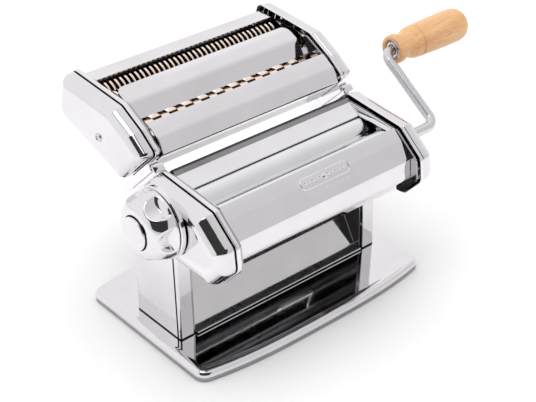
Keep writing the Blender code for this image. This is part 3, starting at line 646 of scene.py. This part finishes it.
# The thickness knob --------------------------------------------------------------------------
# Places along X, and radii.
KNOB_BACK = -97.9
DIAL_FRONT = -101.5
GRIP_BACK = -101.8
GRIP_FRONT = -119.3
CAP_FRONT = -121.2
CAP_RADIUS = 11.5
LOBES = 6
DOME_RADIUS = 24
DIAL_RADIUS = 25
KNOB_BORE = 4.4
HOLLOW_START = -103.6
HOLLOW_REACH = 32.0
HOLLOW_RADIUS = 13.0
HOLLOW_BLEND = 0.9
HOLLOW_LEAST = CAP_RADIUS + 1.6


def scalloped(x, radius, angle):
    """Finger hollows that fade towards the back, so the rim there stays round."""
    depth = min(1.0, max(0.0, (HOLLOW_START - x) / 3.0))
    if radius < HOLLOW_LEAST or depth <= 0:
        return radius
    pitch = 2 * pi / LOBES
    off = (angle + pitch / 2) % pitch - pitch / 2
    bite = HOLLOW_RADIUS ** 2 - (HOLLOW_REACH * sin(off)) ** 2
    if bite <= 0:
        return radius
    hollow = HOLLOW_REACH * cos(off) - sqrt(bite)
    blend = max(0.0, HOLLOW_BLEND - abs(radius - hollow)) / HOLLOW_BLEND
    least = min(radius, hollow) - blend * blend * HOLLOW_BLEND / 4
    return radius + (max(least, HOLLOW_LEAST) - radius) * depth


DOME_START = GRIP_BACK - 2.6
knob_profile = [(GRIP_BACK, KNOB_BORE), (GRIP_BACK, DOME_RADIUS - 0.6), (GRIP_BACK - 0.6, DOME_RADIUS),
                (GRIP_BACK - 1.6, DOME_RADIUS), (DOME_START, DOME_RADIUS)]
for step in range(1, 25):
    turn = radians(3.75 * step)
    knob_profile.append((DOME_START + (GRIP_FRONT - DOME_START) * sin(turn),
                         CAP_RADIUS + 1.2 + (DOME_RADIUS - 1.2 - CAP_RADIUS) * cos(turn)))
knob_profile += [(GRIP_FRONT + 0.1, CAP_RADIUS + 0.7), (GRIP_FRONT + 0.9, CAP_RADIUS + 0.5),
                 (GRIP_FRONT + 1.6, CAP_RADIUS), (GRIP_FRONT + 1.6, 0)]
# Faces close round the cap take the near-black painted shade of the gap there.
turned("knob_dome", knob_profile, REAR_AXIS, CHROME, "knob", ["knob_grip"], 216, 50, scalloped,
       second=GROOVE_SHADE, in_second=lambda here, there: max(here[1], there[1]) <= CAP_RADIUS + 0.8)
turned("knob_cap_disc", [(GRIP_FRONT - 0.1, 0), (GRIP_FRONT - 0.1, CAP_RADIUS - 0.2),
                         (CAP_FRONT + 0.7, CAP_RADIUS),
                         *arc((CAP_FRONT + 0.6, CAP_RADIUS - 0.6), 0.6, 90, 180, 6),
                         (CAP_FRONT + 0.12, CAP_RADIUS - 1.5), (CAP_FRONT + 0.3, CAP_RADIUS - 4),
                         (CAP_FRONT + 0.36, 4), (CAP_FRONT + 0.36, 0)],
       REAR_AXIS, CHROME, "knob", ["knob_cap"], 96, 50)
turned("knob_dial_ring", [(KNOB_BACK, KNOB_BORE), (KNOB_BACK, DIAL_RADIUS - 0.6),
                          (KNOB_BACK - 0.6, DIAL_RADIUS), (DIAL_FRONT + 0.6, DIAL_RADIUS),
                          (DIAL_FRONT, DIAL_RADIUS - 0.6), (DIAL_FRONT, KNOB_BORE)],
       REAR_AXIS, CHROME, "knob", ["knob_dial"], 120, 30, None, True)


# The crank -----------------------------------------------------------------------------------
GRIP_AXIS = axis_of("grip_ferrule")
ARM = Vector((GRIP_AXIS[0] - FRONT_AXIS[0], GRIP_AXIS[1] - FRONT_AXIS[1]))
ARM_LENGTH = ARM.length
ARM_WAY = ARM.normalized()
ROD_RADIUS = 3.8
ROD_TIP = 1.2
ROD_BEND = 8
CRANK_ARM_X = 125.0
PIN_END = 186.0


def crank():
    """One bent round rod, swept along its path with a domed tip at each end."""
    start = span_of("crank_rod")[0]
    route = rounded([(start, 0, 0), (CRANK_ARM_X, 0, ROD_BEND), (CRANK_ARM_X, ARM_LENGTH, ROD_BEND),
                     (PIN_END, ARM_LENGTH, 0)], False, 20)
    stations = []
    for index, spot in enumerate(route):
        before = route[max(index - 1, 0)]
        after = route[min(index + 1, len(route) - 1)]
        stations.append((spot, (after - before).normalized(), ROD_RADIUS))

    def tip(station, inwards):
        spot, way, _ = station
        return [(spot + inwards * (ROD_TIP * (1 - cos(radians(a)))), way,
                 ROD_RADIUS - ROD_TIP + ROD_TIP * sin(radians(a))) for a in (0, 30, 60)]

    first = tip(stations[0], stations[0][1])
    last = tip(stations[-1], -stations[-1][1])
    stations = first + stations[1:-1] + last[::-1]
    sides = 40
    points = []
    for spot, way, radius in stations:
        across = Vector((-way.y, way.x))
        for side in range(sides):
            angle = 2 * pi * side / sides
            flat = spot + across * (radius * cos(angle))
            lift = radius * sin(angle)
            points.append((flat.x, FRONT_AXIS[0] + flat.y * ARM_WAY.x - lift * ARM_WAY.y,
                           FRONT_AXIS[1] + flat.y * ARM_WAY.y + lift * ARM_WAY.x))
    faces = ring_faces(len(stations), sides)
    faces.append(tuple(range(sides)))
    faces.append(tuple(range(len(points) - sides, len(points))))
    piece("crank_bar", points, faces, POLISHED, "crank", ["crank_rod"], 40)


crank()

GRIP_START = 133.0
GRIP_END = 207.0
# The grip from its free end: (radius, distance along).
GRIP_SHAPE = [
    (0, 0), (3.4, 0.12), (6.0, 0.5), (8.4, 1.35), (10.2, 2.7), (11.5, 4.5), (12.3, 6.8), (12.7, 9.4),
    (12.8, 12.4), (12.8, 17), (12.75, 23), (12.65, 31), (12.5, 38), (12.3, 44), (12.2, 48.6), (12.0, 49.3),
    (11.4, 49.7), (11.1, 50.0), (11.2, 50.4), (11.7, 50.8), (11.95, 51.4), (12.0, 52.6), (11.8, 54.6),
    (11.1, 57.2), (10.2, 59.4), (9.4, 61.4), (8.95, 62.8), (8.9, 63.6), (9.1, 64.7), (9.6, 65.9),
    (10.25, 67.2), (10.7, 68.6), (10.85, 70), (10.8, 71.6), (10.5, 72.9), (10, 73.7), (9.4, 74),
]
RECESS = 7.3
GRIP_BORE = 4.3
grip_profile = [(GRIP_END - along, radius) for radius, along in GRIP_SHAPE]
grip_profile += [(GRIP_START, RECESS + 0.5), (GRIP_START + 0.4, RECESS), (GRIP_START + 6.3, RECESS),
                 (GRIP_START + 6.3, GRIP_BORE), (PIN_END + 1, GRIP_BORE), (PIN_END + 1, 0)]
turned("grip_turning", grip_profile, GRIP_AXIS, BEECH, "grip", ["grip"], 96, 55)
turned("grip_collar", [(GRIP_START + 6, GRIP_BORE), (GRIP_START + 6, 7.0), (GRIP_START + 2.6, 7.0),
                       *arc((GRIP_START + 2.4, 6.4), 0.6, 90, 180, 5), (GRIP_START + 2.6, 5.4),
                       (GRIP_START + 0.2, 5.2), (GRIP_START, 4.9), (GRIP_START, GRIP_BORE)],
       GRIP_AXIS, CHROME, "grip", ["grip_ferrule"], 64, 40, None, True)


# Base, legs and feet -------------------------------------------------------------------------
BASE_HALF = 103.0
BASE_DEPTH = 62.5
BASE_BOW = 8.4
BASE_CORNER = 9.0
CLAMP_SLOT_PLACE = Vector((0, -40, 8))
CLAMP_SLOT_SIZE = Vector((30, 5, 8))


def base_outline(depth):
    """The base's outline moved inwards: straight ends, and front and back edges that bow out."""
    half = BASE_HALF - depth
    reach = BASE_DEPTH - depth
    corner = max(BASE_CORNER - depth, 0.5)
    back = [(half, reach, corner)]
    for step in range(24):
        share = 0.92 - 1.84 * step / 23
        back.append((share * half, reach + BASE_BOW * (1 - abs(share) ** 3), 0))
    front = [(-x, -y, radius) for x, y, radius in back]
    return rounded(back + [(-half, reach, corner)] + front + [(half, -reach, corner)], True, 10)


def base():
    """A pressed tray: rolled skirt, crowned rim and a flat top a little below the crown.

    Its sections are (inset, z), and the skirt's lowest rows take a darker finish, painted shade where the
    base meets the floor.
    """
    sections = [(0.5, 1.2), (0.1, 1.25), (0.0, 1.6), (0.0, 3.8)]
    skirt_rows = len(sections) - 1
    for step in range(1, 9):
        angle = radians(90 * step / 8)
        sections.append((3.6 * (1 - cos(angle)), 4.4 + 3.6 * sin(angle)))
    sections += [(4.6, 7.98), (5.4, 7.85), (6.0, 7.66), (6.6, 7.56), (7.4, 7.52)]
    rows = [base_outline(depth) for depth, _ in sections]
    columns = len(rows[0])
    points = [(point.x, point.y, z) for row, (_, z) in zip(rows, sections) for point in row]
    faces = ring_faces(len(rows), columns)
    # The skirt's lowest rows take a darker painted shade at the floor.
    indices = [1 if face[0] < skirt_rows * columns else 0 for face in faces] + [0]
    last = (len(rows) - 1) * columns
    faces.append(tuple(range(last, last + columns)))
    made = piece("base_pressing", points, faces, CHROME, "body", ["base"], 60,
                 [CHROME, FRAME_CHROME_AND_SHADE], indices)
    thicken(made, SHEET, -1)
    apply_modifiers(made)
    bpy.ops.mesh.primitive_cube_add(size=1)
    slot = bpy.context.object
    slot.location = ORIGIN + CLAMP_SLOT_PLACE * MM
    slot.scale = CLAMP_SLOT_SIZE * MM
    cut(made, slot)
    even_normals(made, 80)


LEG_INNER = 79.3
LEG_OUTER = 90.3
LEG_HALF = 25
LEG_BOTTOM = 8.3
LEG_LEAN = 2.2
LEG_HEIGHTS = (7.8, 8.7, 30, 52, 74)


def leg(side, hand):
    """A folded leg cover: an outer face between two flanges, leaning back a little at the front.

    A groove runs up its outer face near the front; it and a band along its foot are painted dark as shade.
    """
    groove = LEG_OUTER - 1
    path = rounded([(LEG_INNER, LEG_HALF, 0), (LEG_OUTER, LEG_HALF, 3), (LEG_OUTER, -21.4, 0),
                    (groove, -21.6, 0), (groove, -22.7, 0), (LEG_OUTER, -22.9, 0),
                    (LEG_OUTER, -LEG_HALF, 1.6), (LEG_INNER, -LEG_HALF, 0)], False, 10)
    notch = [index for index, pair in enumerate(zip(path, path[1:]))
             if min(pair[0].x, pair[1].x) < groove + 0.1 and all(-23 < end.y < -21.3 for end in pair)]
    points = []
    for z in LEG_HEIGHTS:
        lean = LEG_LEAN * (z - LEG_BOTTOM) / 65
        for point in path:
            shift = lean if point.y < 0 else 0
            points.append((side * point.x, point.y + shift, z))
    faces = ring_faces(len(LEG_HEIGHTS), len(path), False)
    # The groove and the foot row take the near-black painted shade.
    indices = [1 if face[0] % len(path) in notch or face[0] < len(path) else 0 for face in faces]
    made = piece("leg_" + hand + "_folded", points, faces, CHROME, "body", ["leg_" + hand], 60,
                 [CHROME, GROOVE_SHADE], indices)
    thicken(made, SHEET, side)
    soften(made, 0.25)


base()
leg(-1, "left")
leg(1, "right")


def foot(name):
    """A stepped round pad under a corner of the base."""
    low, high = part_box(name)
    centre = ((low + high) / 2 - ORIGIN) / MM
    top = high.z / MM
    profile = [(0, 0), (5.2, 0), (5.7, 0.4), (6.1, 1.2), (6.0, 1.7), (6.3, 2.2), (6.5, 3.2), (6.4, 3.7),
               (6.7, 4.2), (6.9, top - 0.6), (6.5, top), (0, top)]
    points = []
    segments = 40
    for radius, z in profile:
        for step in range(segments):
            angle = 2 * pi * step / segments
            points.append((centre.x + radius * cos(angle), centre.y + radius * sin(angle), z))
    piece(name + "_pad", points, ring_faces(len(profile), segments), RUBBER, "body", [name], 40)


for foot_name in ("foot_front_left", "foot_front_right", "foot_back_left", "foot_back_right"):
    foot(foot_name)


# Screws --------------------------------------------------------------------------------------
SCREW_RADIUS = 3.3


def screw(hand, side):
    """A domed head with a cross recess, on the outer face of a cutter cover."""
    x = CUTTER_COVER_OUTER
    radius = SCREW_RADIUS
    axis = axis_of("cutter_screw_" + hand)
    profile = [(side * x, 0), (side * x, radius)]
    for step in range(1, 9):
        angle = radians(90 * step / 8)
        profile.append((side * (x + radius * 0.52 * sin(angle)), radius * cos(angle)))
    made = turned("cutter_screw_" + hand + "_head", profile, axis, POLISHED, "cutter_unit",
                  ["cutter_screw_" + hand], 48, 40)
    for turn in (0.35, 0.35 + pi / 2):
        bpy.ops.mesh.primitive_cube_add(size=1)
        slot = bpy.context.object
        slot.scale = (radius * 0.5 * MM, radius * 1.15 * MM, radius * 0.24 * MM)
        slot.rotation_euler = (turn, 0, 0)
        slot.location = ORIGIN + Vector((side * (x + radius * 0.52), *axis)) * MM
        cut(made, slot)


screw("left", -1)
screw("right", 1)


# Small fittings ------------------------------------------------------------------------------
CHEEK_TOP = [(-52, 122.2, 0), (-30, 124.2, 0), (-8, 125.4, 0)]
CHEEK_BOTTOM = 120.2
CHEEK_BOTTOM_ON_ROLLER = 119.9


def cheek(side, hand):
    """The curved end wall of the hopper, resting just above both smooth rollers."""
    upper = subdivided(rounded(CHEEK_TOP, False), 2.0)
    rows = []
    for share, x in ((0, 77.0), (0.25, 76.9), (0.5, 76.5), (0.75, 75.8), (0.93, 74.9), (1.0, 74.2)):
        row = []
        for point in upper:
            on_roller = any(abs(point.x - axis[0]) < 9 for axis in (FRONT_AXIS, REAR_AXIS))
            lowest = CHEEK_BOTTOM_ON_ROLLER if on_roller else CHEEK_BOTTOM
            row.append((side * x, point.x, point.y + (lowest - point.y) * share))
        rows.append(row)
    points = [point for row in rows for point in row]
    made = piece("hopper_cheek_" + hand, points, ring_faces(len(rows), len(upper), False), CHROME, "body",
                 (), 60)
    thicken(made, 0.5, 0)


def shoe_cap(hand):
    """A rounded plate that closes the front end of the sliding shoe."""
    low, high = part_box("cutter_shoe_" + hand)
    centre = ((low + high) / 2 - ORIGIN) / MM
    up = Vector((0.7071, 0.7071))
    forward = Vector((-0.7071, 0.7071))
    tip = Vector(((low.y - ORIGIN.y) / MM, high.z / MM))
    middle = tip - up * 2.9 - forward * 0.1
    outline = rounded([(-4.4, -2.8, 1.2), (4.4, -2.8, 1.2), (4.4, 2.9, 1.6), (-4.4, 2.9, 1.6)], True, 5)
    points = []
    for along, size in ((0.0, 1.0), (1.0, 1.0), (1.3, 0.93)):
        for point in outline:
            spot = middle + up * point.y * size + forward * along
            points.append((centre.x + point.x * size, spot.x, spot.y))
    faces = ring_faces(3, len(outline))
    faces.append(tuple(range(len(outline))))
    faces.append(tuple(range(2 * len(outline), 3 * len(outline))))
    piece("shoe_cap_" + hand, points, faces, CHROME, "cutter_unit", (), 50)


for hand, side in (("left", -1), ("right", 1)):
    cheek(side, hand)
    shoe_cap(hand)


# A plain embossed ornament on the front panel ------------------------------------------------
EMBLEM_START = 4.5
EMBLEM_CENTRE = 6.0
RIB_SECTION = ((-1.0, -0.06), (-0.55, 0.75), (0, 1.0), (0.55, 0.75), (1.0, -0.06))
DOME_SECTION = ((1.0, -0.06), (0.8, 0.6), (0.45, 0.93))
DOME_SIDES = 16


def emblem():
    """An oval frame with leaves over a row of beads, raised a little round the panel's upper bend."""
    line = subdivided(rounded(FRONT_PANEL, False, 12), 1.0)
    lengths = [0.0]
    for start, end in zip(line, line[1:]):
        lengths.append(lengths[-1] + (end - start).length)
    points = []
    faces = []

    def spot(x, s, lift):
        """The point at x across and s down from the emblem's start, lifted off the panel."""
        index = next(i for i, length in enumerate(lengths) if length > s + EMBLEM_START)
        along = line[index] - line[index - 1]
        place = line[index - 1] + along * ((s + EMBLEM_START - lengths[index - 1]) / along.length)
        place = place + Vector((along.y, -along.x)).normalized() * lift
        return EMBLEM_CENTRE + x, place.x, place.y

    def rib(path, width, height):
        """A rounded rib along a closed path."""
        start = len(points)
        for index in range(len(path)):
            along = (path[(index + 1) % len(path)] - path[index - 1]).normalized()
            side = Vector((-along.y, along.x))
            for share, lift in RIB_SECTION:
                place = path[index] + side * share * width / 2
                points.append(spot(place.x, place.y, lift * height))
        columns = len(RIB_SECTION)
        for face in ring_faces(len(path), columns, False):
            faces.append(tuple(start + corner for corner in face))
        last = start + (len(path) - 1) * columns
        for step in range(columns - 1):
            faces.append((last + step, last + step + 1, start + step + 1, start + step))

    def dome(x, s, length, width, turn, height):
        """A domed oval, turned by an angle."""
        start = len(points)
        for share, lift in DOME_SECTION:
            for step in range(DOME_SIDES):
                angle = 2 * pi * step / DOME_SIDES
                across = Vector((length / 2 * share * cos(angle), width / 2 * share * sin(angle)))
                points.append(spot(x + across.x * cos(turn) - across.y * sin(turn),
                                   s + across.x * sin(turn) + across.y * cos(turn), lift * height))
        points.append(spot(x, s, height))
        for face in ring_faces(len(DOME_SECTION), DOME_SIDES):
            faces.append(tuple(start + corner for corner in face))
        innermost = start + (len(DOME_SECTION) - 1) * DOME_SIDES
        for step in range(DOME_SIDES):
            faces.append((innermost + step, innermost + (step + 1) % DOME_SIDES, innermost + DOME_SIDES))

    oval = rounded([(-21, 1.4, 3.4), (21, 1.4, 3.4), (21, 9.4, 3.4), (-21, 9.4, 3.4)], True, 8)
    rib(oval, 0.8, 0.4)
    for leaf in range(-5, 6):
        if leaf:
            turn = radians(38 if leaf % 2 else -38)
            dome(leaf * 3.3, 5.7 - 0.9 * (leaf % 2), 3.6, 1.5, turn, 0.45)
    dome(0, 5.4, 4.2, 4.2, 0, 0.5)
    for bead in range(-7, 8):
        dome(bead * 2.5, 13.0, 1.5, 1.2, 0, 0.3)
    piece("front_emblem", points, faces, CHROME, "body", (), 80)


emblem()


# Studio, in metres ---------------------------------------------------------------------------
TARGET = Vector((0.0042, 0.0327, 0.0292))
TOWARDS_CAMERA = Vector((-0.5523, -0.6377, 0.5370)).normalized()
CAMERA_PLACE = (-0.5481, -0.6050, 0.5662)
CAMERA_DIP = 32.48
CAMERA_HEADING = -40.90


def floor():
    """A plain pale floor, under the feet."""
    mesh = bpy.data.meshes.new("studio_floor")
    bm = bmesh.new()
    bmesh.ops.create_grid(bm, x_segments=8, y_segments=8, size=4.0)
    bm.to_mesh(mesh)
    bm.free()
    made = bpy.data.objects.new("studio_floor", mesh)
    bpy.context.scene.collection.objects.link(made)
    graph = Graph("floor_finish")
    tone = graph.noise(6.0, 3.0)
    colour = graph.mix(graph.remap(tone, 0.3, 0.7), (0.93, 0.93, 0.935), (0.96, 0.96, 0.96))
    dull = graph.remap(tone, 0.3, 0.7, 0.6, 0.7)
    mesh.materials.append(graph.finish(colour, dull, graph.bump(tone, 0.00001), Metallic=0.0,
                                       Specular_IOR_Level=0.2))


def card(name, centre, width, height, brightness):
    """A dark board that only reflections see."""
    mesh = bpy.data.meshes.new(name)
    facing = (TARGET - centre).normalized().to_track_quat("Z", "Y").to_matrix().to_4x4()
    corners = [Vector((x * width / 2, y * height / 2, 0))
               for x, y in ((-1, -1), (1, -1), (1, 1), (-1, 1))]
    placing = Matrix.Translation(centre) @ facing
    mesh.from_pydata([placing @ corner for corner in corners], [], [(0, 1, 2, 3)])
    made = bpy.data.objects.new(name, mesh)
    bpy.context.scene.collection.objects.link(made)
    graph = Graph(name + "_finish")
    tone = graph.noise(5.0, 2.0)
    warm = (brightness, brightness * 0.97, brightness * 0.95)
    colour = graph.mix(tone, warm, (brightness, brightness, brightness))
    dull = graph.remap(tone, 0.3, 0.7, 0.85, 0.95)
    mesh.materials.append(graph.finish(colour, dull, graph.bump(tone, 0.0001), Metallic=0.0,
                                       Specular_IOR_Level=0.0))
    made.visible_camera = False
    made.visible_diffuse = False
    made.visible_shadow = False
    made.visible_transmission = False


def area_light(name, centre, size, power, glossy=False):
    """A softbox that faces the machine. Reflections see it only where glossy is true."""
    light = bpy.data.lights.new(name, "AREA")
    light.shape = "RECTANGLE"
    light.size = size[0]
    light.size_y = size[1]
    light.energy = power
    made = bpy.data.objects.new(name, light)
    bpy.context.scene.collection.objects.link(made)
    made.location = centre
    made.rotation_euler = (centre - TARGET).to_track_quat("Z", "Y").to_euler()
    made.visible_camera = False
    made.visible_glossy = glossy


def world():
    """A pale surround, dimmer towards the front."""
    made = bpy.data.worlds.new("studio")
    bpy.context.scene.world = made
    made.use_nodes = True
    tree = made.node_tree
    direction = tree.nodes.new("ShaderNodeTexCoord").outputs["Generated"]
    parts = tree.nodes.new("ShaderNodeSeparateXYZ")
    tree.links.new(direction, parts.inputs["Vector"])
    ranged = tree.nodes.new("ShaderNodeMapRange")
    tree.links.new(parts.outputs["Y"], ranged.inputs["Value"])
    for key, number in (("From Min", -0.55), ("From Max", 0.3), ("To Min", 0.72), ("To Max", 1.0)):
        ranged.inputs[key].default_value = number
    background = tree.nodes["Background"]
    background.inputs["Color"].default_value = (1.0, 0.995, 1.0, 1)
    tree.links.new(ranged.outputs["Result"], background.inputs["Strength"])


floor()
world()
OVERHEAD = Vector((-0.39, -0.10, 0.92)).normalized()
card("camera_board", TARGET + TOWARDS_CAMERA * 1.2, 1.7, 1.15, 0.04)
card("overhead_board", TARGET + OVERHEAD * 1.45, 0.86, 0.80, 0.02)
area_light("overhead_strip", TARGET + OVERHEAD * 1.4, (0.68, 0.62), 2.4, True)
area_light("top_softbox", Vector((0.1, 0.25, 1.5)), (1.6, 1.2), 5.6)
area_light("left_softbox", Vector((-1.3, -0.2, 0.9)), (0.9, 1.1), 1.7)
area_light("right_softbox", Vector((1.2, -0.9, 0.9)), (0.8, 1.0), 1.7)

camera_data = bpy.data.cameras.new("camera")
camera_data.lens = 88.7
camera_data.sensor_width = 36
camera_data.clip_start = 0.01
camera = bpy.data.objects.new("camera", camera_data)
bpy.context.scene.collection.objects.link(camera)
camera.location = CAMERA_PLACE
camera.rotation_euler = (radians(90 - CAMERA_DIP), 0, radians(CAMERA_HEADING))
bpy.context.scene.camera = camera
bpy.context.scene.view_settings.view_transform = "Standard"
